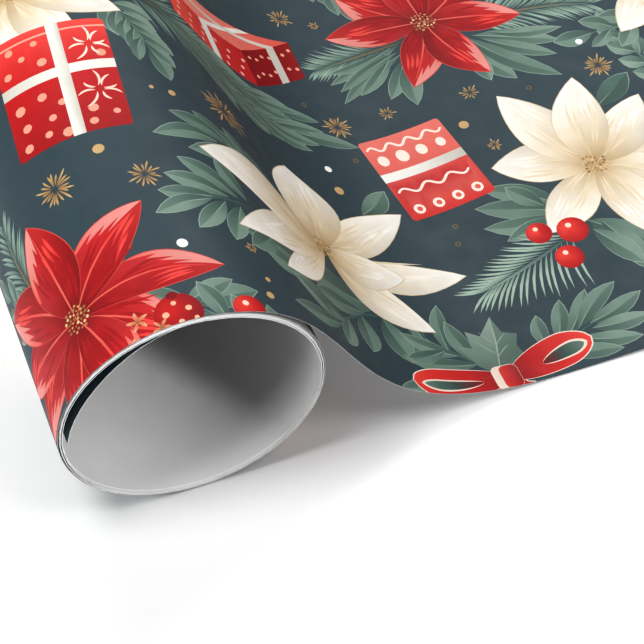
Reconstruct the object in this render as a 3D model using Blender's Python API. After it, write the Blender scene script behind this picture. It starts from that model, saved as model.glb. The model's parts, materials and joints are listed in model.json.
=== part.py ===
"""A coreless roll of gift wrapping paper with its outer stretch drawn off and laid flat.

Metres, +Z up, +Y along the roll, +X the way the sheet is drawn. The origin is on the floor, at the
middle of the footprint. The whole object is one web of paper. It is divided where its zones move
differently: the loose inner flap, the turns of the coil, the outer turn, the curve that comes down
off the roll, the laid sheet, the end that is drawn out, and its free edge.

Angles along the web are measured about the roll's axis, clockwise from the top as seen from the
near end (-Y), and they grow outwards along the web, so each turn adds a full circle.
"""

import math

import bpy

# Paper
WEB_WIDTH = 0.762
WEB_LENGTH = 1.829
PAPER = 0.0001
PITCH = 0.00014  # from the middle of one turn to the middle of the next

# Roll
ROLL_RADIUS = 0.030  # to the printed face, where the sheet leaves the roll
COIL_TURNS = 6
SPIN_CLEARANCE = 0.0002  # more room between the outer turn and the coil that spins inside it
LIFT_ANGLE = math.radians(9)
FACETS_PER_TURN = 80
SEAM = 0.0001  # gap where two zones of the web meet

# Inner flap, the last stretch before the web's inner edge
FLAP_SWEEP = math.radians(99)
FLAP_TUCK = 0.0027  # how far it stands in from the turn outside it
FLAP_TUCK_SWEEP = math.radians(62)  # from its hinge line to where it stands in most

# Curve from the roll down to the floor, a Bezier arc tangent to both
LANDING = 0.0914  # from the roll's axis
RELEASE_PULL = 0.0404
LANDING_PULL = 0.0659
CURVE_FACETS = 40

# Laid sheet and the end drawn out from under it
LAP_START = 0.040  # from the landing line to where the sheet climbs onto the drawn end
LAP_RAMP = 0.004
LAP_GAP = 0.00005
DRAW_TURNS = 1.25  # turns of the coil that the drawn end's travel takes off
DRAW_OVERLAP = 0.010  # still under the sheet when fully drawn
DRAWN_SHOWS = 0.060  # stands out from under the sheet at rest
FREE_EDGE = 0.050  # the last stretch, which can be picked up

TURN = 2 * math.pi
PRINT_NAVY = (0.036, 0.062, 0.088)
PLAIN_WHITE = (0.80, 0.80, 0.79)


def web_radius(angle):
    """From the roll's axis to the middle of the paper, along the outer turn."""
    return ROLL_RADIUS - PAPER / 2 - PITCH * (LIFT_ANGLE - angle) / TURN


def coil_radius(angle):
    return web_radius(angle) - SPIN_CLEARANCE


def flap_radius(angle):
    swept = FLAP_HINGE_ANGLE - angle
    return coil_radius(angle) - FLAP_TUCK * math.sin(math.pi / 2 * swept / FLAP_TUCK_SWEEP) ** 2


def polar(angle, radius):
    """The point (x, z) at an angle of the web, measured from the roll's axis."""
    return radius * math.sin(angle), radius * math.cos(angle)


def wound(start, end, radius_at):
    """The points of the web between two angles, with half a seam left free at each end."""
    trim = SEAM / 2 / ROLL_RADIUS
    facets = round(FACETS_PER_TURN * (end - start) / TURN)
    angles = [start + (end - start) * i / facets for i in range(facets + 1)]
    angles[0] += trim
    angles[-1] -= trim
    return [polar(angle, radius_at(angle)) for angle in angles]


def bezier(start, start_pull, end_pull, end, t):
    s = 1 - t
    weights = (s**3, 3 * s * s * t, 3 * s * t * t, t**3)
    points = (start, start_pull, end_pull, end)
    return tuple(sum(w * p[i] for w, p in zip(weights, points)) for i in (0, 1))


def lift_off_points():
    """The curve from the roll's lift-off line to the floor, measured from the roll's axis."""
    start = polar(LIFT_ANGLE, web_radius(LIFT_ANGLE))
    end = (LANDING, PAPER / 2 - AXIS_HEIGHT)
    along = (math.cos(LIFT_ANGLE), -math.sin(LIFT_ANGLE))
    start_pull = tuple(p + RELEASE_PULL * d for p, d in zip(start, along))
    end_pull = (end[0] - LANDING_PULL, end[1])
    trim = SEAM / 2 / (RELEASE_PULL + LANDING_PULL)
    steps = [trim + (1 - 2 * trim) * i / CURVE_FACETS for i in range(CURVE_FACETS + 1)]
    return [bezier(start, start_pull, end_pull, end, t) for t in steps]


def length_of(points):
    return sum(math.dist(a, b) for a, b in zip(points, points[1:]))


def laid_points():
    """The flat sheet: on the floor first, then on the drawn end that lies under it."""
    low = PAPER / 2 - AXIS_HEIGHT
    high = low + PAPER + LAP_GAP
    return [
        (LANDING + SEAM / 2, low),
        (LANDING + LAP_START, low),
        (LANDING + LAP_START + LAP_RAMP, high),
        (LAP_END, high),
    ]


def drawn_points():
    low = PAPER / 2 - AXIS_HEIGHT
    return [(LAP_END - DRAW_TRAVEL - DRAW_OVERLAP, low), (LIFT_LINE - SEAM / 2, low)]


def free_edge_points():
    low = PAPER / 2 - AXIS_HEIGHT
    return [(LIFT_LINE + SEAM / 2, low), (SHEET_END, low)]


def paper_material(name, colour, roughness):
    material = bpy.data.materials.new(name)
    material.use_nodes = True
    principled = material.node_tree.nodes["Principled BSDF"]
    principled.inputs["Base Color"].default_value = (*colour, 1)
    principled.inputs["Roughness"].default_value = roughness
    principled.inputs["Metallic"].default_value = 0
    material.diffuse_color = (*colour, 1)
    return material


def empty(name, location, parent=None):
    held = bpy.data.objects.new(name, None)
    held.location = location
    held.parent = parent
    bpy.context.scene.collection.objects.link(held)
    return held


def paper(name, points, colour, roughness, parent, origin=(0, 0)):
    """A zone of the web: a strip along the points, as wide as the web and as thick as the paper.

    The points (x, z) are measured from the parent's origin, and the object's own origin is at origin."""
    x0, z0 = origin
    sides = (-WEB_WIDTH / 2, WEB_WIDTH / 2)
    corners = [(x - x0, y, z - z0) for x, z in points for y in sides]
    faces = [(2 * i, 2 * i + 2, 2 * i + 3, 2 * i + 1) for i in range(len(points) - 1)]
    mesh = bpy.data.meshes.new(name)
    mesh.from_pydata(corners, [], faces)
    mesh.shade_smooth()
    mesh.materials.append(paper_material(name, colour, roughness))
    strip = bpy.data.objects.new(name, mesh)
    strip.parent = parent
    strip.location = (x0, 0, z0)
    bpy.context.scene.collection.objects.link(strip)
    thickness = strip.modifiers.new("paper", "SOLIDIFY")
    thickness.thickness = PAPER
    thickness.offset = 0
    thickness.use_even_offset = True
    mesh.set_sharp_from_angle(angle=math.radians(30))
    return strip


for old in list(bpy.data.objects):
    bpy.data.objects.remove(old)

COIL_END_ANGLE = LIFT_ANGLE - TURN
FLAP_HINGE_ANGLE = COIL_END_ANGLE - COIL_TURNS * TURN
AXIS_HEIGHT = web_radius(-math.pi) + PAPER / 2

outer_points = wound(COIL_END_ANGLE, LIFT_ANGLE, web_radius)
curve_points = lift_off_points()
turn_points = [
    wound(COIL_END_ANGLE - (i + 1) * TURN, COIL_END_ANGLE - i * TURN, coil_radius)
    for i in range(COIL_TURNS)
]
flap_points = wound(FLAP_HINGE_ANGLE - FLAP_SWEEP, FLAP_HINGE_ANGLE, flap_radius)

rolled_length = sum(length_of(points) for points in [outer_points, *turn_points, flap_points])
SHEET_END = LANDING + WEB_LENGTH - rolled_length - length_of(curve_points)
LAP_END = SHEET_END - DRAWN_SHOWS
LIFT_LINE = SHEET_END - FREE_EDGE
DRAW_TRAVEL = DRAW_TURNS * TURN * web_radius(LIFT_ANGLE)
roll_left = web_radius(-math.pi / 2) + PAPER / 2
AXIS_X = (roll_left - SHEET_END) / 2

roll_axis = empty("roll_axis", (AXIS_X, 0, AXIS_HEIGHT))
paper("outer_turn", outer_points, PRINT_NAVY, 0.5, roll_axis)
paper("lift_off_curve", curve_points, PRINT_NAVY, 0.5, roll_axis)
paper("laid_sheet", laid_points(), PRINT_NAVY, 0.5, roll_axis)
paper("drawn_end", drawn_points(), PRINT_NAVY, 0.5, roll_axis)
lift_line = (LIFT_LINE, PAPER / 2 - AXIS_HEIGHT)
paper("free_edge", free_edge_points(), PRINT_NAVY, 0.5, roll_axis, origin=lift_line)

coil_axis = empty("coil_axis", (0, 0, 0), roll_axis)
for i, points in enumerate(turn_points):
    paper(f"coil_turn_{COIL_TURNS - i}", points, PLAIN_WHITE, 0.65, coil_axis)
flap_hinge = polar(FLAP_HINGE_ANGLE, coil_radius(FLAP_HINGE_ANGLE))
paper("inner_flap", flap_points, PLAIN_WHITE, 0.65, coil_axis, origin=flap_hinge)
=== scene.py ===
"""Looks for the wrapping paper roll: printed and plain sides of one web of paper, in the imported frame."""

import json
import math
import random

import bpy
import numpy as np
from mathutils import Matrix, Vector
from mathutils.geometry import delaunay_2d_cdt

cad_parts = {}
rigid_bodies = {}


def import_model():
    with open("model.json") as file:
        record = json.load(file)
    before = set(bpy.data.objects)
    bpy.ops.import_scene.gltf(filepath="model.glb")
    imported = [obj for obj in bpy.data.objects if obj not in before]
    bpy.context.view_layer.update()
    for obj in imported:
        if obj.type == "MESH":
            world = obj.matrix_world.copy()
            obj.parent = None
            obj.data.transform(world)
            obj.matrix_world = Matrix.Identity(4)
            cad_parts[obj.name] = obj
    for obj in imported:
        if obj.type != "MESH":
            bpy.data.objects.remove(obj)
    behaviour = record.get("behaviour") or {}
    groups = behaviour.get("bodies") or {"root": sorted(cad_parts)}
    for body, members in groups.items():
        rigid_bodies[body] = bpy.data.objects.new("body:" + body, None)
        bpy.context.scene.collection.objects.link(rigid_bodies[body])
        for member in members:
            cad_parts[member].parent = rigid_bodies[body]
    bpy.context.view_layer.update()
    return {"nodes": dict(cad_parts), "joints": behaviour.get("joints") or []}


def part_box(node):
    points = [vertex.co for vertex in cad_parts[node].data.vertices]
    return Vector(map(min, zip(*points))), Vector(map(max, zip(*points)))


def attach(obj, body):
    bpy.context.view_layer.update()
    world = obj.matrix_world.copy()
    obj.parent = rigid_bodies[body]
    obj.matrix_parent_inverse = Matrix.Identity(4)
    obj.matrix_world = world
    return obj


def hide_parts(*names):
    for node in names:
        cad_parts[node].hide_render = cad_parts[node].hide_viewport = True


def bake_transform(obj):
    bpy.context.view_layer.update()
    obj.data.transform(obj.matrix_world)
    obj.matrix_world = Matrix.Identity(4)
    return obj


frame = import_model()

# ---- sizes, in metres
# The same driving dimensions as the solids have.
PAPER = 0.0001
PITCH = 0.00014
ROLL_RADIUS = 0.030
SPIN_CLEARANCE = 0.0002
LIFT_ANGLE = math.radians(9)
FLAP_SWEEP = math.radians(99)
FLAP_TUCK = 0.0027
FLAP_TUCK_SWEEP = math.radians(62)
RELEASE_PULL = 0.0404
LANDING_PULL = 0.0659
LAP_START = 0.040
LAP_RAMP = 0.004
LAP_GAP = 0.00005
BEND = 0.036  # the free edge turns up over this length, which is cut on close lines
BEND_STEP = 0.0015
TURN = 2 * math.pi

JOINTS = {joint["name"]: joint for joint in frame["joints"]}
AXIS_X, _, AXIS_Z = JOINTS["coil_spin"]["pos_m"]
LIFT_LINE = JOINTS["edge_lift"]["pos_m"][0]
DRAW_TRAVEL = JOINTS["sheet_draw"]["range_m"][1]
NEAR_Y, FAR_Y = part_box("outer_turn")[0].y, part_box("outer_turn")[1].y
WEB_WIDTH = FAR_Y - NEAR_Y
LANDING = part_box("laid_sheet")[0].x
LAP_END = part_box("laid_sheet")[1].x
DRAWN_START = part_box("drawn_end")[0].x
SHEET_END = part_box("free_edge")[1].x
COIL_TURNS = sum(name.startswith("coil_turn") for name in frame["nodes"])

# The artwork repeats along the web and across it. It is drawn in millimetres: u along the web from
# the lift-off line, v across it from the near edge.
MM = 0.001
WIDTH = WEB_WIDTH / MM
REPEAT_U = DRAW_TRAVEL / MM
REPEATS_ACROSS = 4
REPEAT_V = WIDTH / REPEATS_ACROSS
FOLDS = 60  # the mesh of one repeat bends on this many lines
FOLD = REPEAT_U / FOLDS
GRID_ROWS = 24  # and has at least this many rows across it
TILE_START = -15 * FOLD
WELD_STEPS = 500  # corners of the print in the same 500th of a millimetre become one
MARGIN = 0.8  # a bare strip along both ends of the inner turns
END_BAND = 24  # how far in from its ends an inner turn shows its print
PAINTED_LIGHT_LENGTH, PAINTED_LIGHT_WIDTH = 60, 3.2  # a near-white strip at the outer turn's near edge, under the lifted sheet: painted light that lightens the shaded wedge there
RIPPLE_HEIGHT, RIPPLE_LENGTH, RIPPLE_WIDTH = 0.8, 60, 20
STAGGER = 0.45  # the ends of a real roll's turns are never quite flush


# ---- the path of the web
def web_radius(angle):
    return ROLL_RADIUS - PAPER / 2 - PITCH * (LIFT_ANGLE - angle) / TURN


def coil_radius(angle):
    return web_radius(angle) - SPIN_CLEARANCE


def circle_point(angle, radius):
    """Points and outward normals round the roll's axis, as rows of x, z."""
    out = np.stack([np.sin(angle), np.cos(angle)], -1)
    return np.array([AXIS_X, AXIS_Z]) + out * np.asarray(radius)[..., None], out


def lift_off_curve(samples=600):
    """Points of the curve from the roll to the floor, and the length along it to each."""
    (start,), _ = circle_point(np.array([LIFT_ANGLE]), web_radius(LIFT_ANGLE))
    end = np.array([LANDING, PAPER / 2])
    along = np.array([math.cos(LIFT_ANGLE), -math.sin(LIFT_ANGLE)])
    t = np.linspace(0, 1, samples)[:, None]
    s = 1 - t
    points = s**3 * start + 3 * s * s * t * (start + RELEASE_PULL * along)
    points += 3 * s * t * t * (end - [LANDING_PULL, 0]) + t**3 * end
    steps = np.hypot(*np.diff(points, axis=0).T)
    return points, np.concatenate([[0], np.cumsum(steps)])


CURVE_POINTS, CURVE_STEPS = lift_off_curve()
CURVE_LENGTH = CURVE_STEPS[-1]
CURVE_SLOPE = np.gradient(CURVE_POINTS, CURVE_STEPS, axis=0)
OUTER_RADIUS = web_radius(LIFT_ANGLE)


def flat_at(x):
    """Arc length along the web, in metres from the lift-off line, of a place on the flat sheet."""
    return CURVE_LENGTH + x - LANDING


def outer_path(u):
    """The outer turn, the curve and the laid sheet: middle of the paper and printed-side normal."""
    angle = LIFT_ANGLE + np.minimum(u, 0) / OUTER_RADIUS
    ring, ring_out = circle_point(angle, web_radius(angle))
    curve = np.stack([np.interp(u, CURVE_STEPS, CURVE_POINTS[:, i]) for i in (0, 1)], -1)
    slope = np.stack([np.interp(u, CURVE_STEPS, CURVE_SLOPE[:, i]) for i in (0, 1)], -1)
    x = LANDING + u - CURVE_LENGTH
    climb = np.clip((x - LANDING - LAP_START) / LAP_RAMP, 0, 1)
    flat = np.stack([x, PAPER / 2 + (PAPER + LAP_GAP) * climb], -1)
    on_roll, on_flat = (u < 0)[:, None], (u > CURVE_LENGTH)[:, None]
    points = np.where(on_roll, ring, np.where(on_flat, flat, curve))
    out = np.stack([-slope[:, 1], slope[:, 0]], -1)
    out = np.where(on_roll, ring_out, np.where(on_flat, [0.0, 1.0], out))
    return points, out / np.linalg.norm(out, axis=1, keepdims=True)


def drawn_path(u):
    """The drawn end on the floor, its u counted so that its print carries on when it is drawn out."""
    x = LANDING + u - CURVE_LENGTH - DRAW_TRAVEL
    return np.stack([x, np.full_like(x, PAPER / 2)], -1), np.tile([0.0, 1.0], (len(x), 1))


def turn_path(first_angle, radius_at):
    """A path function for a stretch of the coil that starts at an angle, where u is 0."""
    def path(u):
        angle = first_angle + u / OUTER_RADIUS
        return circle_point(angle, radius_at(angle))
    return path


# ---- artwork: paints
def srgb(red, green, blue):
    return np.array([red, green, blue]) / 255


NAVY = srgb(69, 85, 92)
GOLD = srgb(198, 166, 114)
DEEP_GOLD = srgb(154, 120, 78)
CREAM = srgb(246, 238, 224)
TAN = srgb(196, 166, 122)
RED = srgb(196, 42, 46)
BRIGHT_RED = srgb(216, 62, 58)
DARK_RED = srgb(140, 26, 34)
PINK = srgb(240, 160, 152)
SAGE = srgb(118, 142, 131)
PALE_SAGE = srgb(160, 178, 165)
DEEP_SAGE = srgb(76, 99, 93)
RIBBON = srgb(236, 234, 226)
RIBBON_SHADE = srgb(206, 202, 192)
# near-white for the strip of painted light in the shaded wedge under the lifted sheet
PAINTED_LIGHT_WHITE = srgb(236, 236, 234)


def polar(radius, degrees):
    return radius * math.cos(math.radians(degrees)), radius * math.sin(math.radians(degrees))


def flat(colour):
    return lambda p: np.tile(colour, (len(p), 1))


def ramp(t, stops):
    """A colour for each t, from (place, colour) stops in order."""
    places = [place for place, _ in stops]
    return np.stack([np.interp(t, places, [c[i] for _, c in stops]) for i in range(3)], -1)


def along(length, *colours):
    """Paint that runs through the colours from the local origin to x = length."""
    stops = [(i / (len(colours) - 1), c) for i, c in enumerate(colours)]
    return lambda p: ramp(p[:, 0] / length, stops)


def upwards(height, *stops):
    """Paint that changes from y = 0 to the height, by (place, colour) stops."""
    return lambda p: ramp(p[:, 1] / height, stops)


def round_paint(radius, inner, outer):
    """Paint for a ball lit from the upper left."""
    def paint(p):
        away = np.hypot(p[:, 0] / radius + 0.3, p[:, 1] / radius - 0.3)
        return ramp(away / 1.3, [(0, inner), (0.5, (inner + outer) / 2), (1, outer)])
    return paint


def petal_paint(length, width, stops, shade, lift):
    """Paint for a petal: stops along it, one side darkened by shade and the other lightened by lift."""
    def paint(p):
        colour = ramp(p[:, 0] / length, stops)
        side = np.clip(p[:, 1] / (width / 2), -1, 1)[:, None]
        vein = np.exp(-((side / 0.16) ** 2))
        colour = colour * (1 - shade * np.clip(-side, 0, 1)) * (1 - 0.5 * shade * vein)
        return colour + (1 - colour) * lift * np.clip(side, 0, 1)
    return paint


# ---- artwork: outlines
def lens(length, width, fullest=0.5, sharp=1.0, bend=0.0, points=11):
    """A pointed oval from the origin to x = length, fullest at a share of its length."""
    t = np.linspace(0, 1, points)
    warped = np.where(t < fullest, 0.5 * t / fullest, 0.5 + 0.5 * (t - fullest) / (1 - fullest))
    half = width / 2 * np.sin(np.pi * warped) ** sharp
    middle = bend * length * np.sin(np.pi * t)
    upper = np.stack([length * t, middle + half], -1)
    lower = np.stack([length * t, middle - half], -1)
    return np.concatenate([upper, lower[-2:0:-1]])


def disc(radius, squeeze=1.0, points=12):
    angle = np.arange(points) * TURN / points
    return np.stack([radius * np.cos(angle), radius * squeeze * np.sin(angle)], -1)


def box_outline(width, height, corner=0.0):
    if not corner:
        return np.array([(0, 0), (width, 0), (width, height), (0, height)], float)
    right, top = width - corner, height - corner
    centres = [(right, top), (corner, top), (corner, corner), (right, corner)]
    turned = [np.radians([q * 90 + a for a in (0, 30, 60, 90)]) for q in range(4)]
    rounds = [np.add(c, corner * np.stack([np.cos(a), np.sin(a)], -1)) for c, a in zip(centres, turned)]
    return np.concatenate(rounds)


def stroke(line, width, taper=0.15):
    """The outline of a brush stroke along a line of points, thin at both ends."""
    line = np.asarray(line, float)
    slope = np.gradient(line, axis=0)
    side = np.stack([-slope[:, 1], slope[:, 0]], -1)
    side /= np.linalg.norm(side, axis=1, keepdims=True) + 1e-9
    t = np.linspace(0, 1, len(line))
    half = width / 2 * (taper + (1 - taper) * np.sqrt(np.sin(np.pi * np.clip(t, 0.001, 0.999))))
    return np.concatenate([line + side * half[:, None], (line - side * half[:, None])[::-1]])


def arc_line(length, rise, points=6):
    """A shallow bow-shaped line from the origin to x = length."""
    t = np.linspace(0, 1, points)
    return np.stack([length * t, 4 * rise * t * (1 - t)], -1)


class Plate:
    """The printing plate of one repeat: outlines with their paints, later ones on top."""

    def __init__(self):
        self.shapes = []

    def place_at(self, u, v, turn=0, squash=1.0):
        """Everything added next is squashed, turned by degrees and set down at u, v."""
        c, s = polar(1, turn)
        self.matrix = np.array([[c, -s], [s, c]]) @ np.diag([1, squash])
        self.offset = np.array([u, v], float)

    def add(self, outline, paint, turn=0, at=(0, 0)):
        """Adds an outline in the placed frame, itself turned by degrees and moved."""
        c, s = polar(1, turn)
        matrix = self.matrix @ np.array([[c, -s], [s, c]])
        offset = self.matrix @ np.array(at, float) + self.offset
        self.shapes.append((outline @ matrix.T + offset, paint, np.linalg.inv(matrix), offset))


plate = Plate()


# ---- artwork: motifs
PETAL_POINTS, PATCH_POINTS = 14, 25
STAMENS, STAMENS_REACH = 36, 3.4
GOLDEN_ANGLE = 2.39996


def tip_patch(length, width, fullest, bend, reach, rng):
    """The light patch along one side of a petal's tip: it runs out towards the base in feathers."""
    edge = lens(length, width, fullest, 0.85, bend, PATCH_POINTS)[:PATCH_POINTS]
    edge = edge[edge[:, 0] > length * (1 - reach)]
    inner = []
    for i in range(4):
        notch = length * (0.93 - 0.10 * i - 0.02 * rng.random())
        end = notch - length * rng.uniform(0.16, 0.26)
        for x, share in ((notch, 0.62 - 0.17 * i), (end, 0.56 - 0.17 * i)):
            top = np.interp(x, edge[:, 0], edge[:, 1])
            middle = bend * length * math.sin(math.pi * x / length)
            inner.append((x, top - share * 1.5 * (top - middle)))
    return np.concatenate([edge, np.array(inner)])


def poinsettia(u, v, red, seed, *petals):
    """A star flower. petals are (direction in degrees, length, width), back ones first."""
    rng = random.Random(seed)
    if red:
        stops = [(0, DARK_RED), (0.25, RED * 0.88), (0.7, RED * 1.02), (1, BRIGHT_RED)]
        dark, light, rib_colour = DARK_RED, srgb(230, 84, 76), srgb(224, 112, 100)
        shade, lift, outline_colour = 0.22, 0.07, srgb(208, 92, 84)
    else:
        stops = [(0, TAN * 0.96), (0.22, srgb(224, 203, 168)), (0.5, srgb(243, 232, 213)),
                 (1, srgb(255, 252, 246))]
        dark, light, rib_colour = srgb(234, 220, 196), srgb(247, 240, 228), srgb(220, 201, 168)
        shade, lift, outline_colour = 0.09, 0.3, srgb(216, 198, 166)
    middle = (stops[1][1] + stops[2][1]) / 2
    for direction, length, width in petals:
        plate.place_at(u, v, direction)
        bend = rng.uniform(-0.06, 0.06)
        fullest = 0.5 + rng.uniform(-0.05, 0.05)
        plate.add(lens(length + 0.3, width + 0.4, fullest, 0.85, bend, PETAL_POINTS), flat(outline_colour))
        paint = petal_paint(length, width, stops, shade, lift)
        plate.add(lens(length, width, fullest, 0.85, bend, PETAL_POINTS), paint)
        for i in range(6 if red else 4):
            side = 1 if i % 2 else -1
            start = length * rng.uniform(0.12, 0.3)
            run = length * rng.uniform(0.34, 0.5)
            y = side * width * (0.06 + 0.07 * (i // 2))
            streak = lens(run, width * 0.075, 0.4, 1.0, 0.04 * side, 5)
            paint = along(run, middle, (dark + middle) / 2, middle)
            plate.add(streak, paint, side * (5 + 3 * (i // 2)), (start, y))
        if red:
            patch = tip_patch(length, width, fullest, bend, rng.uniform(0.5, 0.66), rng)
            plate.add(patch, along(length, light, light, PINK * 0.93, PINK))
        for i in range(3):
            run = length * rng.uniform(0.25, 0.36)
            start = (length * rng.uniform(0.42, 0.56), -width * (0.05 + 0.12 * i))
            paint = along(run, stops[2][1], light, light if red else stops[3][1])
            plate.add(lens(run, width * 0.07, 0.7, 1.0, 0.03, 5), paint, 4 + 3 * i, start)
        rib = arc_line(length * 0.9, bend * length)
        plate.add(stroke(rib, width * 0.045), along(length, rib_colour, rib_colour, light, light))
    plate.place_at(u, v)
    for i in range(STAMENS):
        away = STAMENS_REACH * math.sqrt((i + 0.5) / STAMENS)
        angle = i * GOLDEN_ANGLE
        tone = (GOLD, DEEP_GOLD, srgb(222, 198, 150), srgb(176, 140, 92))[i % 4]
        spot = (away * math.cos(angle), away * math.sin(angle))
        plate.add(disc(rng.uniform(0.24, 0.46), points=6), flat(tone), 0, spot)


def leaf(length, width, turn, at, pale, bend=0.05):
    """One leaf: a darker half, a lighter half, a pale edge and a rib."""
    light = SAGE + (PALE_SAGE - SAGE) * pale
    dark = DEEP_SAGE + (SAGE - DEEP_SAGE) * (0.35 + 0.5 * pale)
    count = 8 if length > 9 else 6
    if length > 9:
        edge = along(length, dark, light * 1.04, PALE_SAGE)
        plate.add(lens(length + 0.3, width + 0.45, 0.55, 0.8, bend, count), edge, turn, at)
    whole = lens(length, width, 0.55, 0.8, bend, count)
    rib = lens(length, 0, 0.55, 1, bend, count)[:count]
    plate.add(whole, along(length, DEEP_SAGE, dark, (dark + light) / 2), turn, at)
    plate.add(np.concatenate([whole[:count], rib[-2:0:-1]]), along(length, dark, light, light), turn, at)
    if length > 7:
        plate.add(stroke(rib[:-1], 0.32), along(length, PALE_SAGE, light, dark), turn, at)


def leaves(pale, *rows):
    """Single leaves, each growing from its own place: u, v, direction, length and width."""
    for u, v, direction, length, width in rows:
        plate.place_at(u, v, direction)
        tone, bend = pale + 0.2 * math.sin(1.7 * u + v), 0.06 * math.cos(u + 1.3 * v)
        leaf(length, width, 0, (0, 0), tone, bend)


def holly_leaf(u, v):
    """A broad pale leaf with a jagged edge, its two halves in different tones."""
    plate.place_at(u, v)
    middle = [(3.2, 17), (1.6, 9), (-1, 0)]
    left = [(-5.2, 3.2), (-8.4, 10), (-4.8, 8.8), (-4.6, 14), (-1.4, 12)]
    right = [(4.2, 12), (7.6, 10.6), (6.2, 7.2), (7.2, 3.6), (3.2, 1.4)]
    plate.add(np.array([*left, *middle]), upwards(17, (0, SAGE * 0.86), (1, PALE_SAGE * 0.97)))
    plate.add(np.array([*middle[::-1], *right]), upwards(17, (0, SAGE * 0.8), (1, SAGE)))
    plate.add(stroke(middle, 0.5), flat(PALE_SAGE))
    for x, y, turn, run in ((0.6, 6, 128, 6), (1.4, 9, 122, 5), (0.4, 5, 38, 5), (1.4, 8.4, 42, 4.6)):
        plate.add(stroke(arc_line(run, 0.2), 0.28), flat(PALE_SAGE * 0.96), turn, (x, y))


def stem(*line):
    plate.place_at(0, 0)
    plate.add(stroke(line, 0.8), flat(DEEP_SAGE * 1.1))


def spray(u, v, direction, length, leaf_length, leaf_width, pairs, curl=0.10, pale=0.3, spread=42):
    """A leafy twig: pairs of leaves along a bowed stem, and one at its tip."""
    rng = random.Random(int(u * 11 + v * 5))
    plate.place_at(u, v, direction)
    line = arc_line(length, curl * length)
    plate.add(stroke(line, 0.8), along(length, DEEP_SAGE, SAGE))
    leaf(leaf_length, leaf_width * 0.85, -curl * 150, line[-1], pale)
    count = max(2, pairs - 1)
    for i in range(count):
        t = (i + 0.5) / count * 0.9
        slope = math.degrees(math.atan(4 * curl * (1 - 2 * t)))
        for side in (1, -1):
            at = min(0.97, t + 0.05 * (side > 0))
            spot = (length * at, 4 * curl * length * at * (1 - at))
            size = (1.08 - 0.3 * t) * rng.uniform(0.88, 1.1)
            turn = slope + side * (spread - 12 * t + rng.uniform(-5, 5))
            tone = pale + 0.25 * (side > 0) + rng.uniform(-0.12, 0.12)
            bend = side * rng.uniform(0.03, 0.09)
            leaf(leaf_length * size, leaf_width * 0.8 * size, turn, spot, tone, bend)


def fir(u, v, direction, length, needle, count, curl=0.06, pale=0.4):
    """A fir branch: slender needles in two rows along a bowed stem."""
    plate.place_at(u, v, direction)
    rng = random.Random(int(u * 7 + v * 13))
    light = SAGE + (PALE_SAGE * 1.06 - SAGE) * pale
    for i in range(count):
        t = (i + 0.5) / count
        slope = math.degrees(math.atan(4 * curl * (1 - 2 * t)))
        size = needle * (1.08 - 0.55 * t**2) * rng.uniform(0.86, 1.1)
        for side in (1, -1):
            at = min(1, t + 0.012 * side)
            spot = (length * at, 4 * curl * length * at * (1 - at))
            turn = slope + side * (40 - 13 * t + rng.uniform(-4, 4))
            tone = light if (i + (side > 0)) % 3 else light * 1.1
            paint = along(size, DEEP_SAGE, tone, tone)
            plate.add(lens(size, 0.8, 0.45, 0.7, -0.05 * side, 4), paint, turn, spot)
    plate.add(stroke(arc_line(length, curl * length), 0.7), along(length, DEEP_GOLD * 0.85, SAGE))


def drooping_fir(u, v, direction, length, count=17):
    """A pale branch with long needles hanging from one side of its stem and short ones on the other."""
    rng = random.Random(count)
    pale = PALE_SAGE * 1.1
    for i in range(count):
        t = (i + 0.5) / count
        x, y = polar(t * length, direction)
        for side, size, way in ((1, 16.5 - 6.5 * t, 268 - 50 * t), (0, 13.5 - 3.5 * t, 158 + 24 * t)):
            plate.place_at(u + x, v + y, way + rng.uniform(-2, 2))
            run = size * rng.uniform(0.92, 1.05)
            plate.add(lens(run, 0.72, 0.5, 0.6, 0.05 - 0.1 * side, 5), along(run, SAGE, pale, pale))
    plate.place_at(u, v, direction)
    plate.add(stroke(arc_line(length, 0.5), 0.8), along(length, DEEP_SAGE, PALE_SAGE))


def starburst(u, v, radius, rays, pale=0.0, squash=1.0):
    """A gold spark of separate thin brush strokes of many lengths, thicker at their tips."""
    plate.place_at(u, v, 0, squash)
    rng = random.Random(int(u * 3 + v * 19))
    tone = GOLD + (CREAM - GOLD) * (pale + 0.35)
    first = rng.uniform(0, 90)
    for i in range(rays):
        reach = radius * (1.0 if i % 2 else 0.76) * rng.uniform(0.78, 1.06)
        turn = first + 360 * (i + rng.uniform(-0.2, 0.2)) / rays
        root = radius * rng.uniform(0.08, 0.2)
        ray = lens(reach - root, radius * 0.045 + 0.26, 0.85, 0.45, rng.uniform(-0.05, 0.05), 5)
        plate.add(ray, along(radius, DEEP_GOLD, GOLD, tone), turn, polar(root, turn))


def dot(u, v, radius, colour):
    plate.place_at(u, v)
    plate.add(disc(radius), along(radius, colour, colour * 0.97))


def ring(u, v):
    plate.place_at(u, v)
    plate.add(disc(0.75), flat(GOLD * 0.7))
    plate.add(disc(0.75 * 0.62), flat(NAVY))


def berry(u, v, radius):
    plate.place_at(u, v)
    plate.add(disc(radius, 1, 20), round_paint(radius, srgb(246, 84, 72), srgb(180, 30, 34)))
    plate.add(disc(radius * 0.20, 1, 9), flat(srgb(255, 226, 206)), 0, (-0.12 * radius, 0.42 * radius))


def bauble(u, v, radius):
    """A dark red ball with cream spots."""
    plate.place_at(u, v)
    plate.add(disc(radius, 1, 22), round_paint(radius, srgb(214, 48, 46), srgb(142, 24, 32)))
    plate.add(disc(radius * 0.24, 0.8, 12), flat(DARK_RED), 0, (0, radius * 0.93))
    places = (-0.5, 0.1), (0.45, 0.15), (0, -0.42), (-0.05, 0.55), (0.62, -0.4), (-0.6, -0.48)
    for i, (x, y) in enumerate(places):
        spot = disc(radius * (0.15 - 0.012 * i), points=9)
        plate.add(spot, flat(srgb(238, 190, 160)), 0, (radius * x, radius * y))


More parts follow.
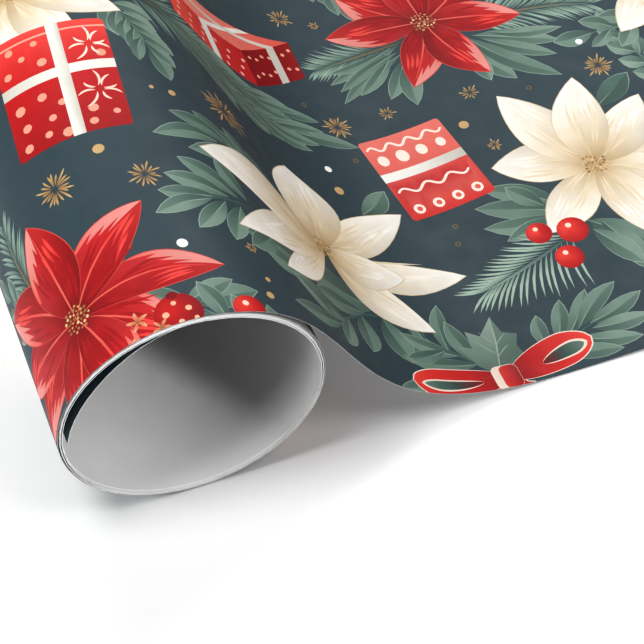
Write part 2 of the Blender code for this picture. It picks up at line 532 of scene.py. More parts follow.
def blossom(u, v, radius, turn):
    """A small cream star with five petals."""
    plate.place_at(u, v, turn)
    for i in range(5):
        paint = along(radius, srgb(204, 122, 92), srgb(208, 146, 112), srgb(224, 190, 152))
        plate.add(lens(radius, radius * 0.34, 0.5, 0.8, 0.04, 6), paint, 72 * i)
    plate.add(disc(radius * 0.16, points=6), flat(DEEP_GOLD))


def wavy(x0, x1, y, height, waves, width, colour):
    """A wavy band of icing across a box."""
    t = np.linspace(0, 1, waves * 10 + 1)
    line = np.stack([x0 + (x1 - x0) * t, y + height * np.sin(t * waves * TURN)], -1)
    plate.add(stroke(line, width, 0.8), flat(colour))


def bow_strokes(x, y, size, colour):
    """Loose curved strokes that spread from a knot."""
    for i, turn in enumerate((12, 55, 95, 140, 190, 232, 300, 338)):
        run = size * (0.8 + 0.25 * (i % 3))
        dx, dy = polar(size * 0.28, turn)
        line = arc_line(run, (0.16 if i % 2 else -0.16) * run)
        plate.add(stroke(line, 0.62), flat(colour), turn, (x + dx, y + dy))


def spots(radius, colour, *places):
    for i, at in enumerate(places):
        plate.add(disc(radius * (1, 0.82, 1.15)[i % 3], points=8), flat(colour), 0, at)


def spotted_box(u, v, width, height, turn):
    """A red box with cream spots, tied both ways with a white ribbon."""
    plate.place_at(u, v, turn)
    body = upwards(height, (0, RED * 0.86), (0.55, RED), (0.8, BRIGHT_RED), (1, srgb(240, 88, 80)))
    plate.add(box_outline(width, height, 1.2), body)
    plate.add(box_outline(width, 0.55), flat(srgb(248, 176, 160)), 0, (0, height - 2.6))
    across, up = width * 0.56, height * 0.57
    tone = srgb(232, 168, 146)
    low_left = (3.2, 2.6), (8.6, 3.4), (13, 1.9), (4, 8), (10.4, 7.4), (3.4, 13.4), (9.2, 14.2), (13.3, 10.8)
    low_right = (19, 2.8), (24.4, 4.6), (19.6, 6.6)
    high = (2.6, 4.6), (6.8, 7.6), (11.2, 4.4), (4.2, 11), (10.4, 10.6), (24.6, 3.6)
    spots(1.2, tone, *low_left)
    spots(1.05, tone, *low_right)
    spots(1.05, tone, *[(x, up + y) for x, y in high])
    bow_strokes(across + 7.2, up + 6.8, 3.6, srgb(252, 226, 212))
    bow_strokes(across + 6.8, up - 7.8, 3.8, srgb(250, 214, 200))
    plate.add(box_outline(width, 2.9), along(width, RIBBON_SHADE, RIBBON, RIBBON), 0, (0, up - 1.4))
    plate.add(box_outline(2.9, height), along(2.9, RIBBON, RIBBON, RIBBON_SHADE), 0, (across - 1.4, 0))


def iced_box(u, v, width, height, turn):
    """A coral box with wavy icing, drops and one white ribbon across."""
    plate.place_at(u, v, turn)
    coral = srgb(228, 112, 102)
    low = (0, BRIGHT_RED), (0.2, coral * 0.96), (0.44, RED)
    plate.add(box_outline(width, height, 1.0), upwards(height, *low, (0.5, coral), (1, srgb(236, 134, 122))))
    icing = srgb(255, 236, 224)
    wavy(1.2, width - 1.0, height - 3.2, 0.95, 4, 0.75, icing)
    wavy(1.4, width - 2.0, height * 0.345, 1.0, 3, 0.75, icing)
    for i in range(4):
        x = width * (0.15 + 0.235 * i)
        plate.add(disc(1.75 - 0.22 * abs(i - 1), 1.2), flat(icing), 0, (x, height * 0.735))
        plate.add(disc(1.55, 1.05), flat(icing), 0, (x, height * 0.115))
        plate.add(disc(0.75, 1.05), flat(coral), 0, (x + 0.1, height * 0.115))
    band = along(width, srgb(250, 248, 242), RIBBON, RIBBON_SHADE)
    plate.add(box_outline(width, 2.9), band, 0, (0, height * 0.485))


def standing_box(u, v):
    """A box seen from a corner: two sides and its lid, tied with a white ribbon."""
    plate.place_at(u, v)

    def face(paint, *corners):
        plate.add(np.array(corners, float), paint)

    face(along(34, srgb(240, 92, 78), BRIGHT_RED, RED), (0, 4.5), (34, 0), (34, 13.5), (1, 18))
    face(along(52, RED * 0.8, DARK_RED, RED * 0.78), (34, 0), (52, 7.5), (52, 21), (34, 13.5))
    lid = along(52, srgb(238, 170, 156), srgb(232, 140, 126), srgb(222, 104, 94))
    face(lid, (1, 18), (34, 13.5), (52, 21), (21, 25))
    for i in range(14):
        x = 36.2 + 2.45 * (i % 7)
        y = 3.6 + (x - 34) * 0.42 + 6.2 * (i // 7) + 0.9 * (i % 2)
        spots(0.62, srgb(240, 176, 150), (x, y))
    for i in range(18):
        x = 2.4 + 1.78 * i
        spots(0.72, srgb(250, 196, 180), (x, 6.0 + 3.6 * (i % 3) - 0.13 * x))
    face(flat(RIBBON), (17, 2.2), (20.6, 1.8), (21, 15.4), (17.4, 15.9))
    face(flat(RIBBON_SHADE), (44, 4.2), (46.6, 5.3), (46.6, 18.8), (44, 17.7))
    face(flat(RIBBON), (17.4, 15.9), (21, 15.4), (40.4, 22.4), (37, 22.9))
    face(flat(RIBBON_SHADE * 1.05), (44, 17.7), (46.6, 18.8), (12.8, 22.4), (10.8, 21.4))


def ribbon_bow(u, v, turn):
    """A red bow with cream edging: two tails, two loops and a knot."""
    plate.place_at(u, v, turn)
    edge = srgb(244, 226, 212)
    for side in (-1, 1):
        for width, paint in ((5.0, flat(edge)), (4.3, along(20, RED, DARK_RED))):
            tail = np.array([(side * 1.2 * i, -1.5 * i - 0.5 * (i % 3)) for i in range(9)], float)
            plate.add(stroke(tail, width, 0.5), paint)
    loops = (177, 26, 9.0, 6.5, 16.5, 2.6), (10, 23.5, 9.4, 9.4, 12.0, 3.4)
    for way, long, wide, hole_at, hole_long, hole_wide in loops:
        x, y = polar(hole_at, way)
        root = (x, y - 0.5)
        ribbon = along(long, RED * 0.72, RED, BRIGHT_RED, srgb(236, 84, 74))
        hole = along(hole_long, DARK_RED, DEEP_SAGE, SAGE)
        plate.add(lens(long + 0.4, wide + 0.5, 0.66, 0.52, 0.02, 31), flat(edge), way)
        plate.add(lens(long, wide, 0.66, 0.52, 0.02, 31), ribbon, way)
        plate.add(lens(hole_long + 0.9, hole_wide + 1.0, 0.68, 0.6, 0.02, 21), flat(edge), way, root)
        plate.add(lens(hole_long, hole_wide, 0.68, 0.6, 0.02, 21), hole, way, root)
        for rise in (0.9, -0.9):
            crease = stroke(arc_line(7.4, 0.3 * rise), 0.55)
            plate.add(crease, along(7, DARK_RED, RED), way + 9 * rise, (0, 0.4 * rise))
    plate.add(box_outline(6.8, 7.0, 1.6), along(7, edge, edge * 0.9), 0, (-3.8, -3.4))
    plate.add(box_outline(4.6, 6.6, 1.4), along(5, BRIGHT_RED, RED, DARK_RED), 0, (-1.7, -3.2))


def draw_greenery():
    """What lies behind the flowers, from the near edge outwards."""
    fir(-33, 24, 100, 26, 11, 14)
    spray(-36, 24, 128, 16, 10, 4.6, 3)
    leaves(0.4, (-4, 5.5, 1, 17, 6.4), (-4, 4, 22, 13, 4.4))
    stem((24, 33), (14, 33.4), (4, 31.6))
    leaves(0.35, (23, 35, 112, 13, 4.6), (20, 34.5, 138, 16, 5), (17, 34, 154, 15, 4.8),
        (13, 33.5, 169, 12.5, 4.6), (12, 32.6, 192, 14, 4.4), (15.5, 32.5, 222, 12.5, 4.8),
        (19.5, 32, 243, 12.5, 5.2))
    stem((46, 52), (28, 54), (14, 54))
    leaves(0.1, (48, 51, 166, 22, 6.5), (40, 52, 160, 18, 5.4), (34, 50, 184, 22, 6),
        (30, 54.5, 150, 14, 3.8), (26, 54, 158, 16, 4.2), (22, 53, 180, 17, 4.6), (38, 53, 146, 13, 4))
    leaves(0.12, (70, 25, 178, 34, 12), (38, 22.5, 174, 20, 9), (34, 18, 166, 13, 6.5),
        (28, 27, 214, 12, 6))
    stem((76, 24), (62, 21), (50, 14), (40, 9))
    leaves(0.15, (52, 14, 170, 24, 7), (48, 11.6, 192, 24, 4.6), (54, 16.5, 236, 13.5, 5.6),
        (62, 20.5, 258, 12, 7), (70, 22, 284, 13.5, 8), (46, 12, 160, 16, 5.4), (64, 22, 186, 22, 6))
    stem((95, 5), (86, 12), (74, 22))
    leaves(0.2, (77, 20, 292, 11, 5.6), (85, 12, 80, 15, 4.2), (80, 16, 100, 10, 4),
        (91, 8, 172, 20, 4.4), (87, 11, 152, 15, 4.2), (91, 8, 104, 14, 4.6), (88, 2, 186, 24, 5),
        (84, 13, 192, 12, 3.8))
    holly_leaf(96, 4)
    stem((104, 6), (114, 9), (124, 12))
    leaves(0.4, (109, 8, 84, 10, 3.8), (112, 9, 66, 12.5, 4), (115, 10, 51, 14.5, 4.2),
        (118, 11, 36, 17, 4.6), (121, 11.5, 17, 16, 4.4), (121, 10, -4, 15, 4.4),
        (117, 8.5, -18, 15, 4.2), (110, 6, -14, 16, 4.2))
    leaves(0.3, (134, 41, -46, 19, 7.4), (137, 40, -76, 19, 6.4), (134, 38, -62, 16, 6),
        (131, 47, 146, 21, 6.2), (131, 45.5, 159, 23, 6.2), (131, 44, 172, 22, 5.6),
        (130, 43, 185, 17, 5), (126, 49, 128, 11, 5), (80, 57, 40, 12, 6))
    drooping_fir(129, 38.5, 200, 28)
    # Round the box on the roll's crown and the long branch beside it
    spray(7, 98, -70, 18, 10.5, 5.6, 6, 0.05, 0.3, 40)
    fir(12, 102, -14, 34, 15, 22, -0.03, 0.2)
    spray(22, 99, -17, 48, 21, 5.2, 13, -0.03, 0.15, 20)
    spray(30, 96, -6, 34, 17, 4.2, 9, 0.02, 0.05, 16)
    # Round the far red flower
    fir(114, 114, 190, 26, 12, 19, -0.03, 0.5)
    leaves(0.3, (110, 112, 203, 22, 3.2), (112, 110, 213, 25, 3.6), (109, 110, 222, 17, 3.4),
        (112, 108, 236, 15, 4.6), (114, 108, 254, 17, 5.8), (110, 113, 196, 20, 2.8),
        (111, 111, 208, 22, 3))
    fir(132, 115, -8, 34, 13, 22, 0.05, 0.5)
    leaves(0.2, (132, 110, -24, 23, 5), (130, 106, -64, 16, 5.2), (134, 108, -36, 20, 4.2),
        (130, 110, -49, 28, 5.4), (128, 105, -78, 12, 4.8), (136, 110, -15, 20, 3.6))
    leaves(-0.7, (152, 75, 34, 15, 6.4))
    spray(178, 72, 110, 28, 9, 6.4, 6, 0.06, 0.4)
    spray(186, 104, 190, 24, 11, 6.4, 4, 0.08, 0.2)
    # Round the flowers that the near view doesn't show
    fir(24, 150, 215, 34, 14, 19, 0.05)
    spray(28, 158, 20, 34, 13, 6, 5, 0.05)
    spray(18, 170, 130, 30, 13, 6, 5, -0.05, 0.2)
    fir(90, 156, 168, 38, 14, 19, -0.05, 0.5)
    spray(100, 160, 24, 30, 13, 6.2, 5, 0.05, 0.35)
    spray(96, 150, -60, 22, 12, 5.6, 5, 0.05, 0.2)
    fir(160, 162, 60, 34, 13, 17, 0.05, 0.6)
    spray(156, 158, 150, 26, 12, 6, 4, 0.05, 0.2)


def draw_sparks():
    """Gold sparks, dots and rings on the bare ground."""
    for u, v, radius in ((-20, 46.5, 5.4), (-0.8, 41, 4.3), (85.5, 88, 4.4), (158.5, 88.3, 4.5),
                         (84.7, 129.5, 3.8), (62, 150, 4.6), (132, 140, 4), (-38, 140, 5),
                         (176, 140, 4.4), (44, 186, 4.2)):
        starburst(u, v, radius, 16 if radius < 4.35 else 20)
    starburst(33, 69.5, 10, 24, 0, 0.62)
    for place in ((100.5, 91, 2.7), (123.5, 91, 3), (122.3, 72, 2.3), (93.3, 126, 1.7), (17, 19, 1.7),
                  (128, 176, 2.6), (-24, 172, 2.8), (70, 138, 2), (8, 136, 2.2), (176, 178, 2.6)):
        starburst(*place, 12, 0.35)
    for place in ((117.7, 81, 1.35), (76.6, 65, 1.35), (-8, 51.3, 1.35), (14, 66.2, 0.95),
                  (9.2, 67.5, 0.6), (16.2, 5.2, 1), (17.6, 10, 0.7), (-45, 52, 1), (110, 146, 1.2),
                  (148, 132, 1.2), (60, 176, 1.2)):
        dot(*place, srgb(208, 176, 130))
    for place in ((0.9, 20.2, 1.25), (76.5, 72.5, 1.05), (157.5, 98, 1), (-40, 62, 1), (140, 184, 1.1),
                  (-4, 150, 1.1)):
        dot(*place, srgb(250, 250, 246))
    for place in ((102.6, 50), (101, 44.5), (138.5, 87.2), (79, 96), (86, 76), (112, 100), (30, 128),
                  (120, 152), (-30, 128)):
        ring(*place)


def draw_subjects():
    """Flowers, boxes, berries and the bow, back ones first."""
    poinsettia(-14, 106, False, 5, (150, 24, 10), (205, 24, 10), (-100, 18, 11), (-62, 24, 11),
        (-28, 27, 10), (95, 25, 11), (45, 26, 11))
    spotted_box(-25.6, 58.3, 27.2, 34.6, -5)
    standing_box(31.5, 99)
    iced_box(93.2, 53.9, 24.0, 28.2, 9.6)
    poinsettia(-26.2, 13.8, True, 11, (205, 29, 12), (-112, 27, 13), (-38, 27, 12), (175, 29, 12),
        (-75, 27, 13), (141, 31, 13), (-1, 34, 10), (42, 30, 12), (98, 30, 13.5))
    bauble(-5.6, 2.4, 5.2)
    berry(9.4, 0.8, 3.7)
    berry(2.8, -4.4, 3.4)
    blossom(-14, 4.2, 2.6, 20)
    blossom(-9.8, 0.6, 2.2, 50)
    blossom(-16.4, -1.2, 2.2, 5)
    ribbon_bow(96.6, 3.0, 2)
    poinsettia(59.3, 40.7, False, 23, (216, 38, 8), (199, 45, 11), (27, 35, 12), (169, 45, 16),
        (-9, 40, 10), (-41.6, 33, 12), (90, 27, 24), (-12, 24, 11))
    poinsettia(121.8, 119.1, True, 31, (40, 26, 12), (140, 25, 12), (92, 26, 12), (177, 27, 11),
        (-13, 26, 11), (243, 24, 11.5), (-67, 25, 11.5))
    poinsettia(143.6, 57.4, False, 41, (5, 27, 12), (-35, 26, 12), (220.8, 26, 12), (41.4, 27, 13),
        (163.5, 26, 13), (-80, 27, 13), (115.3, 33, 14), (77, 30, 14))
    berry(121.1, 41.3, 3.3)
    berry(129.3, 39.5, 4.0)
    berry(125.1, 31.9, 3.6)
    # Those that the near view doesn't show
    poinsettia(188, 116, False, 43, (160, 25, 11), (225, 26, 12), (-75, 25, 12), (20, 26, 12),
        (100, 26, 12), (-25, 25, 11))
    poinsettia(22, 160, True, 47, (30, 27, 12), (75, 25, 12), (150, 27, 12), (200, 26, 12),
        (-110, 25, 12), (-60, 27, 12), (-15, 26, 12))
    poinsettia(96, 157, False, 53, (10, 27, 12), (60, 25, 13), (120, 25, 13), (175, 27, 12),
        (-120, 22, 12), (-45, 23, 13))
    spotted_box(146, 146, 26, 32, 12)
    iced_box(-50, 150, 23, 27, -10)
    for place in ((52, 168, 3.4), (58, 163, 3.8), (-20, 150, 3.6), (-14, 146, 3.2)):
        berry(*place)


def winding(outline, points):
    """How many times the outline goes round each point."""
    total = np.zeros(len(points), int)
    for (x0, y0), (x1, y1) in zip(outline, np.roll(outline, -1, 0)):
        left = (x1 - x0) * (points[:, 1] - y0) - (points[:, 0] - x0) * (y1 - y0) > 0
        total += (y0 <= points[:, 1]) & (points[:, 1] < y1) & left
        total -= (y1 <= points[:, 1]) & (points[:, 1] < y0) & ~left
    return total


def cut_up(points, edges):
    """Triangles between the edges, as corners and triangles."""
    cut = delaunay_2d_cdt([Vector(p) for p in points], edges, [], 0, 1e-3, False)
    return np.array([tuple(p) for p in cut[0]]), np.array(cut[2])


def print_plate(cuts):
    """One repeat cut into triangles along what shows of every outline, and along folds and cuts:
    points in millimetres, triangles, and a colour for each corner of each."""
    low = np.array([TILE_START, 0.0])
    size = np.array([REPEAT_U, REPEAT_V])
    shapes = []
    for outline, paint, inverse, offset in plate.shapes:
        for across in (-1, 0, 1):
            for up in (-1, 0, 1):
                moved = outline + size * [across, up]
                if (moved.max(0) > low).all() and (moved.min(0) < low + size).all():
                    shapes.append((moved, paint, inverse, offset + size * [across, up]))
    outlines = [moved for moved, *_ in shapes]

    def top_shapes(middle):
        """The number of the uppermost shape at each point, or -1 on the bare ground."""
        top = np.full(len(middle), -1)
        order = np.argsort(middle[:, 0])
        for number, outline in enumerate(outlines):
            (left, bottom), (right, above) = outline.min(0), outline.max(0)
            near = order[slice(*np.searchsorted(middle[order, 0], [left, right]))]
            near = near[(middle[near, 1] > bottom) & (middle[near, 1] < above)]
            top[near[winding(outline, middle[near]) != 0]] = number
        return top

    points = np.concatenate(outlines)
    first = np.cumsum([0] + [len(outline) for outline in outlines])
    edges = [(i, i + 1 if i + 1 < b else a) for a, b in zip(first, first[1:]) for i in range(a, b)]
    points, triangles = cut_up(points, edges)
    top = top_shapes(points[triangles].mean(1))
    sides = np.sort(triangles[:, [0, 1, 1, 2, 2, 0]].reshape(-1, 2), 1)
    owner = np.repeat(top, 3)
    order = np.lexsort(sides.T)
    sides, owner = sides[order], owner[order]
    seam = (sides[1:] == sides[:-1]).all(1) & (owner[1:] != owner[:-1])
    edges = sides[1:][seam].tolist()

    lines = [TILE_START + i * FOLD for i in range(FOLDS + 1)]
    lines += [low[0] + (cut - low[0]) % REPEAT_U for cut in cuts]
    ends = [[(u, -1), (u, REPEAT_V + 1)] for u in lines]
    across = (0, MARGIN, PAINTED_LIGHT_WIDTH, END_BAND, REPEAT_V - END_BAND, REPEAT_V - MARGIN, REPEAT_V)
    ends += [[(low[0] - 1, v), (low[0] + REPEAT_U + 1, v)] for v in across]
    grid = [(u, v) for u in lines[:FOLDS + 1] for v in np.linspace(0, REPEAT_V, GRID_ROWS + 1)]
    edges += [(len(points) + i, len(points) + i + 1) for i in range(0, 2 * len(ends), 2)]
    used = np.unique(edges)
    used = used[used < len(points)]
    remap = np.full(len(points) + 2 * len(ends), -1)
    remap[used] = np.arange(len(used))
    remap[len(points):] = len(used) + np.arange(2 * len(ends))
    points = np.concatenate([points[used], np.reshape(ends, (-1, 2)), grid])
    points, triangles = cut_up(points, remap[np.array(edges)].tolist())
    middle = points[triangles].mean(1)
    inside = ((middle > low) & (middle < low + size)).all(1)
    triangles = triangles[inside]
    top = top_shapes(middle[inside])
    colours = np.tile(NAVY, (len(triangles), 3, 1))
    for number in np.unique(top[top >= 0]):
        _, paint, inverse, offset = shapes[number]
        mine = top == number
        local = (points[triangles[mine]].reshape(-1, 2) - offset) @ inverse.T
        colours[mine] = paint(local).reshape(-1, 3, 3)
    return points, triangles, np.clip(colours, 0, 1)


# ---- building the paper
PRINTED, PLAIN, EDGE = 0, 1, 2  # the sheets' material slots


def add_object(name, data):
    thing = bpy.data.objects.new(name, data)
    bpy.context.scene.collection.objects.link(thing)
    return thing


def to_linear(colour):
    return np.where(colour <= 0.04045, colour / 12.92, ((colour + 0.055) / 1.055) ** 2.4)


def printed_part(start, end, bands):
    """The print between two places along the web and in bands across it, joined over its repeats."""
    tile, triangles, colours = PRINT
    middle = tile[triangles].mean(1)
    found_points, found_colours = [], []
    first, last = (start - TILE_START) / REPEAT_U, (end - TILE_START) / REPEAT_U
    for column in range(math.floor(first), math.ceil(last)):
        for row in range(REPEATS_ACROSS):
            shift = np.array([column * REPEAT_U, row * REPEAT_V])
            u, v = (middle + shift).T
            wanted = (u > start) & (u < end) & np.any([(v > low) & (v < high) for low, high in bands], 0)
            found_points.append((tile[triangles[wanted]] + shift).reshape(-1, 2))
            found_colours.append(colours[wanted].reshape(-1, 3))
    loose = np.concatenate(found_points)
    keys = np.round(loose * WELD_STEPS).astype(np.int64) @ [1 << 24, 1]
    _, first, index = np.unique(keys, return_index=True, return_inverse=True)
    triangles = index.reshape(-1, 3)
    whole = (triangles != np.roll(triangles, 1, 1)).all(1)
    return loose[first], triangles[whole], np.concatenate(found_colours)[np.repeat(whole, 3)]


def paper_sheet(name, path, start, end, bands, shape=None, shift=0.0):
    """A stretch of paper with both its sides and all four edges. bands are where the print shows."""
    parts = []

    def place(u, v, side):
        """Points and normals on the printed side (1) or the plain side (-1)."""
        points, out = path(np.asarray(u, float) * MM)
        lift = shape(u, v) if shape else 0
        points = points + out * side * PAPER / 2
        across = NEAR_Y + (np.asarray(v) + shift) * MM
        normals = np.stack([out[:, 0], np.zeros(len(out)), out[:, 1]], -1) * side
        return np.stack([points[:, 0], across, points[:, 1] + lift], -1), normals

    def add(points, normals, faces, slot, colours=None):
        if colours is None:
            colours = np.tile(NAVY, (faces.size, 1))
        count = sum(len(part[0]) for part in parts)
        normals = normals[faces].reshape(-1, 3)
        parts.append((points, faces + count, normals, np.full(len(faces), slot), colours))

    def grid(us, vs, side, slot):
        """A strip of quads on one side of the paper."""
        u, v = np.meshgrid(us, vs, indexing="ij")
        points, normals = place(u.ravel(), v.ravel(), side)
        i = np.arange(len(us) * len(vs)).reshape(len(us), len(vs))
        quads = np.stack([i[:-1, :-1], i[1:, :-1], i[1:, 1:], i[:-1, 1:]], -1).reshape(-1, 4)
        if side < 0:
            quads = quads[:, ::-1]
        add(points, normals, np.concatenate([quads[:, [0, 1, 2]], quads[:, [0, 2, 3]]]), slot)

    def rim(line, normal):
        """The cut edge of the paper along a line of (u, v), from its printed to its plain side."""
        u, v = np.array(line, float).T
        points = np.concatenate([place(u, v, side)[0] for side in (1, -1)])
        n = len(u)
        i = np.arange(n - 1)
        faces = np.concatenate([np.stack([i + 1, i, i + n], -1), np.stack([i + 1, i + n, i + n + 1], -1)])
        add(points, np.tile(normal, (2 * n, 1)).astype(float), faces, EDGE)

    if any(low < high for low, high in bands):
        tile, triangles, colours = printed_part(start, end, bands)
        if start < 0 and WHOLE == bands:
            # Painted light: the print at the outer turn's near edge, in the shaded wedge under the lifted
            # sheet, is turned near-white
            painted_light = (tile[triangles] < (start + PAINTED_LIGHT_LENGTH, PAINTED_LIGHT_WIDTH)).all((1, 2))
            colours[np.repeat(painted_light, 3)] = PAINTED_LIGHT_WHITE
        add(*place(*tile.T, 1), triangles, PRINTED, colours)
    first, last = math.floor((start - TILE_START) / FOLD), math.ceil((end - TILE_START) / FOLD)
    folds = TILE_START + FOLD * np.arange(first, last + 1)
    folds = folds[(folds > start + 0.01) & (folds < end - 0.01)]
    cuts = [cut for cut in CUTS if start < cut < end]
    us = np.unique(np.round([start, end, *folds, *cuts], 6))
    for (_, low), (high, _) in zip(bands, bands[1:]):
        grid(us, [low, high], 1, PRINTED)
    if bands[0][0] > 0:
        grid(us, [0, bands[0][0]], 1, PLAIN)
        grid(us, [bands[-1][1], WIDTH], 1, PLAIN)
    rows = np.linspace(0, WIDTH, REPEATS_ACROSS * GRID_ROWS + 1) if shape else np.array([0, WIDTH])
    grid(us, rows, -1, PLAIN)
    _, ((x0, z0), (x1, z1)) = path(np.array([start, end]) * MM)
    rim([(u, 0) for u in us], (0, -1, 0))
    rim([(u, WIDTH) for u in us[::-1]], (0, 1, 0))
    rim([(start, v) for v in rows[::-1]], (-z0, 0, x0))
    rim([(end, v) for v in rows], (z1, 0, -x1))

    points, faces, normals, slots, inks = (np.concatenate(part) for part in zip(*parts))
    mesh = bpy.data.meshes.new(name)
    mesh.vertices.add(len(points))
    mesh.vertices.foreach_set("co", points.ravel())
    mesh.loops.add(faces.size)
    mesh.loops.foreach_set("vertex_index", faces.ravel().astype(np.int32))
    mesh.polygons.add(len(faces))
    mesh.polygons.foreach_set("loop_start", np.arange(0, faces.size, 3, dtype=np.int32))
    mesh.polygons.foreach_set("material_index", slots.astype(np.int32))
    mesh.update(calc_edges=True)
    colours = np.ones((faces.size, 4), np.float32)
    colours[:, :3] = to_linear(inks)
    layer = mesh.color_attributes.new("print", "FLOAT_COLOR", "CORNER")
    layer.data.foreach_set("color", colours.ravel())
    mesh.normals_split_custom_set(normals.tolist())
    for material in MATERIALS:
        mesh.materials.append(material)
    return add_object(name, mesh)


# ---- materials
def new_node(tree, kind, inputs, **settings):
    """A node with its settings, and its inputs given as values or as another node's output."""
    node = tree.nodes.new("ShaderNode" + kind)
    for name, value in settings.items():
        setattr(node, name, value)
    fill(tree, node, inputs)
    return node


def fill(tree, node, inputs):
    for name, value in inputs.items():
        if isinstance(value, bpy.types.NodeSocket):
            tree.links.new(value, node.inputs[name])
        else:
            node.inputs[name].default_value = value


def paper_material(name, printed, tone=0.0):
    """Printed paper with a faint sheen, or its plain side or cut edge in a grey tone."""
    material = bpy.data.materials.new(name)
    material.use_nodes = True
    tree = material.node_tree
    place = new_node(tree, "TexCoord", {}).outputs["Object"]

    def noise(scale, detail=3.0):
        inputs = {"Scale": scale, "Detail": detail, "Vector": place}
        return new_node(tree, "TexNoise", inputs).outputs["Fac"]

    def spread(value, low, high):
        inputs = {"From Min": 0.3, "From Max": 0.7, "To Min": low, "To Max": high, "Value": value}
        return new_node(tree, "MapRange", inputs).outputs["Result"]

    if printed:
        ink = new_node(tree, "VertexColor", {}, layer_name="print").outputs["Color"]
        mottle, rough, relief = spread(noise(260.0, 4.0), 0.955, 1.03), (0.46, 0.60), 0.10
    else:
        ink = (tone, tone, tone * 0.995, 1)
        mottle, rough, relief = spread(noise(90.0, 4.0), 0.965, 1.02), (0.66, 0.8), 0.16
    inputs = {"Factor": 1.0, "A": ink, "B": mottle}
    tint = new_node(tree, "Mix", inputs, data_type="RGBA", blend_type="MULTIPLY")
    grain = new_node(tree, "Bump", {"Strength": relief, "Distance": 0.0002, "Height": noise(1400.0, 2.0)})
    fill(tree, tree.nodes["Principled BSDF"], {
        "Base Color": tint.outputs["Result"], "Roughness": spread(noise(140.0), *rough),
        "Specular IOR Level": 0.3, "Normal": grain.outputs["Normal"]})
    return material


# The plain back is grey, 0.56, though the paper is white: painted shade for the dark inside of the roll, and
# it greys every piece's plain side
MATERIALS = [paper_material("printed_paper", True), paper_material("plain_back", False, 0.56),
             paper_material("cut_edge", False, 0.91)]


# ---- the pieces
ROUND = TURN * OUTER_RADIUS / MM
CURVE_END = CURVE_LENGTH / MM
SHEET_U = flat_at(LAP_END) / MM
RAMP = [CURVE_END + LAP_START / MM, CURVE_END + (LAP_START + LAP_RAMP) / MM]
DRAWN_U = [(flat_at(x) + DRAW_TRAVEL) / MM for x in (DRAWN_START, SHEET_END)]
FLAP_U = -FLAP_SWEEP * OUTER_RADIUS / MM
BEND_LINES = LIFT_LINE + np.arange(0, BEND + BEND_STEP, BEND_STEP)
BEND_U = [(flat_at(x) + DRAW_TRAVEL) / MM for x in BEND_LINES]
CUTS = [0, CURVE_END, SHEET_U, *RAMP, *DRAWN_U, *BEND_U, FLAP_U]
draw_greenery()
draw_sparks()
draw_subjects()
PRINT = print_plate(CUTS)
print("print:", len(PRINT[0]), "points,", len(PRINT[1]), "triangles in one repeat")

# Where the print shows, as bands across the web
WHOLE = [(0, WIDTH)]
NONE = [(0, 0), (WIDTH, WIDTH)]
ENDS = [(MARGIN, END_BAND), (WIDTH - END_BAND, WIDTH - MARGIN)]


def ripple(u, v):
    """The laid sheet's near edge stands a little off the floor where it has just come down."""
    run = np.clip((np.asarray(u) - CURVE_END) / RIPPLE_LENGTH, 0, 1)
    fade = np.exp(-((np.asarray(v) / RIPPLE_WIDTH) ** 2))
    return RIPPLE_HEIGHT * MM * np.sin(np.pi * run) ** 2 * fade


def paper_piece(name, path, start, end, nodes, bands=WHOLE, slot="printed_paper", **details):
    """One stretch of the web in place of its solids, and the sheet it is cut from."""
    piece = paper_sheet(name, path, start, end, bands, **details)
    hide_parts(*nodes)
    return piece


outer = paper_piece("outer_wrap_paper", outer_path, -ROUND, 0, ["outer_turn"])
curve = paper_piece("lift_off_paper", outer_path, 0, CURVE_END, ["lift_off_curve"])
laid = paper_piece("laid_paper", outer_path, CURVE_END, SHEET_U, ["laid_sheet"], shape=ripple)
for piece in (outer, curve, laid):
    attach(piece, "web")
drawn = paper_piece("drawn_paper", drawn_path, *DRAWN_U, ["drawn_end", "free_edge"])
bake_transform(drawn)

for turn in range(COIL_TURNS, 0, -1):
    path = turn_path(LIFT_ANGLE - TURN * (1 + COIL_TURNS - turn), coil_radius)
    wrap = paper_piece(f"wrap_{turn}_paper", path, -ROUND, 0, [f"coil_turn_{turn}"], ENDS, "plain_back",
                       shift=STAGGER * math.sin(2.1 * turn))
    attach(wrap, "coil" if turn == COIL_TURNS else f"turn_{turn}")

HINGE_ANGLE = LIFT_ANGLE - TURN * (1 + COIL_TURNS)


def flap_radius(angle):
    tuck = np.sin(np.pi / 2 * (HINGE_ANGLE - angle) / FLAP_TUCK_SWEEP) ** 2
    return coil_radius(angle) - FLAP_TUCK * tuck


flap_path = turn_path(HINGE_ANGLE, flap_radius)
flap = paper_piece("inner_edge_paper", flap_path, FLAP_U, 0, ["inner_flap"], NONE, "plain_back")
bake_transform(flap)

# ---- floor, camera and lights
def towards(azimuth, elevation):
    """The direction to a place, in degrees. Azimuth 0 is along +X and 90 along +Y."""
    x, y = polar(1, azimuth)
    level, height = polar(1, elevation)
    return Vector((x * level, y * level, height))


def set_down(thing, place, direction):
    """Puts a camera or lamp at a place, turned so that it looks against the direction."""
    thing.location = place
    thing.rotation_mode = "QUATERNION"
    thing.rotation_quaternion = direction.to_track_quat("Z", "Y")


FLOOR_HALF, FLOOR_DROP = 6, 0.0002
floor_mesh = bpy.data.meshes.new("floor")
corners = [(FLOOR_HALF * x, FLOOR_HALF * y, 0) for x, y in ((-1, -1), (1, -1), (1, 1), (-1, 1))]
floor_mesh.from_pydata(corners, [], [(0, 1, 2, 3)])
floor = add_object("floor", floor_mesh)
floor.location.z = -FLOOR_DROP
pale = bpy.data.materials.new("pale_floor")
pale.use_nodes = True
tree = pale.node_tree
away = new_node(tree, "VectorMath", {}, operation="LENGTH")
fill(tree, away, {0: new_node(tree, "TexCoord", {}).outputs["Object"]})
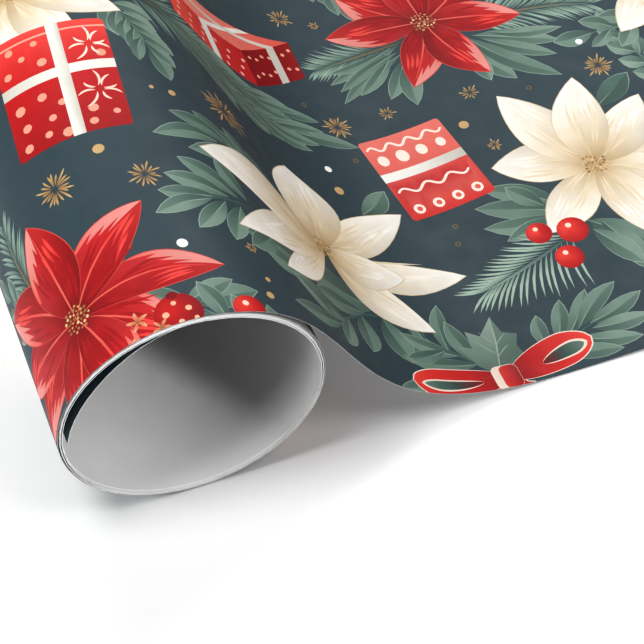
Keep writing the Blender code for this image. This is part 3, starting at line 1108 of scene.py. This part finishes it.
# The floor glows a little near the roll, which lightens the shadows on it, and more with distance from the
# roll, so that it meets the backdrop in low views
glow = new_node(tree, "MapRange", {
    "From Min": 1.1, "From Max": 3.0, "To Min": 0.11, "To Max": 1.0, "Value": away.outputs["Value"]})
fill(tree, tree.nodes["Principled BSDF"], {
    "Base Color": (0.90, 0.90, 0.90, 1), "Roughness": 0.9, "Emission Color": (1, 1, 1, 1),
    "Emission Strength": glow.outputs["Result"]})
floor_mesh.materials.append(pale)

VIEW_AZIMUTH, VIEW_ELEVATION = -110.214, 52.214
camera = add_object("camera", bpy.data.cameras.new("camera"))
camera.data.lens = 120.12
camera.data.sensor_width = 36.0
camera.data.clip_end = 20.0
set_down(camera, (-0.288452, -0.639510, 0.401901), towards(VIEW_AZIMUTH, VIEW_ELEVATION))
bpy.context.scene.camera = camera

LIT_PLACE = Vector((AXIS_X + 0.07, NEAR_Y + 0.08, 0.02))
LAMP_DISTANCE = 1.6


def soft_light(name, azimuth, elevation, power, size=0.6):
    """A round lamp that looks at the roll's mouth."""
    lamp = bpy.data.lights.new(name, "AREA")
    lamp.shape = "DISK"
    lamp.size, lamp.energy = size, power
    holder = add_object(name, lamp)
    direction = towards(azimuth, elevation)
    set_down(holder, LIT_PLACE + LAMP_DISTANCE * direction, direction)
    return holder


for lamp in (("top_left", 180, 70, 8.8), ("low_left", 180, 30, 7), ("behind", 90, 20, 8),
             ("behind_right", 45, 45, 6), ("front", 315, 60, 3.2)):
    soft_light(*lamp)
inside = bpy.data.collections.new("inside_of_roll")
for piece in bpy.context.scene.objects:
    if piece.name.startswith(("wrap_", "inner_edge")):
        inside.objects.link(piece)
for lamp in (("into_mouth", 303, 30, 14.8, 0.3), ("across_mouth", 193, 35, 5, 0.3)):
    soft_light(*lamp).light_linking.receiver_collection = inside

world = bpy.data.worlds.new("studio")
world.use_nodes = True
tree = world.node_tree
seen = new_node(tree, "LightPath", {}).outputs["Is Camera Ray"]
level = new_node(tree, "MapRange", {"To Min": 0.03, "To Max": 1.0, "Value": seen})
fill(tree, tree.nodes["Background"], {"Color": (1, 1, 1, 1), "Strength": level.outputs["Result"]})
bpy.context.scene.world = world
bpy.context.scene.view_settings.view_transform = "Standard"
bpy.context.scene.view_settings.look = "High Contrast"
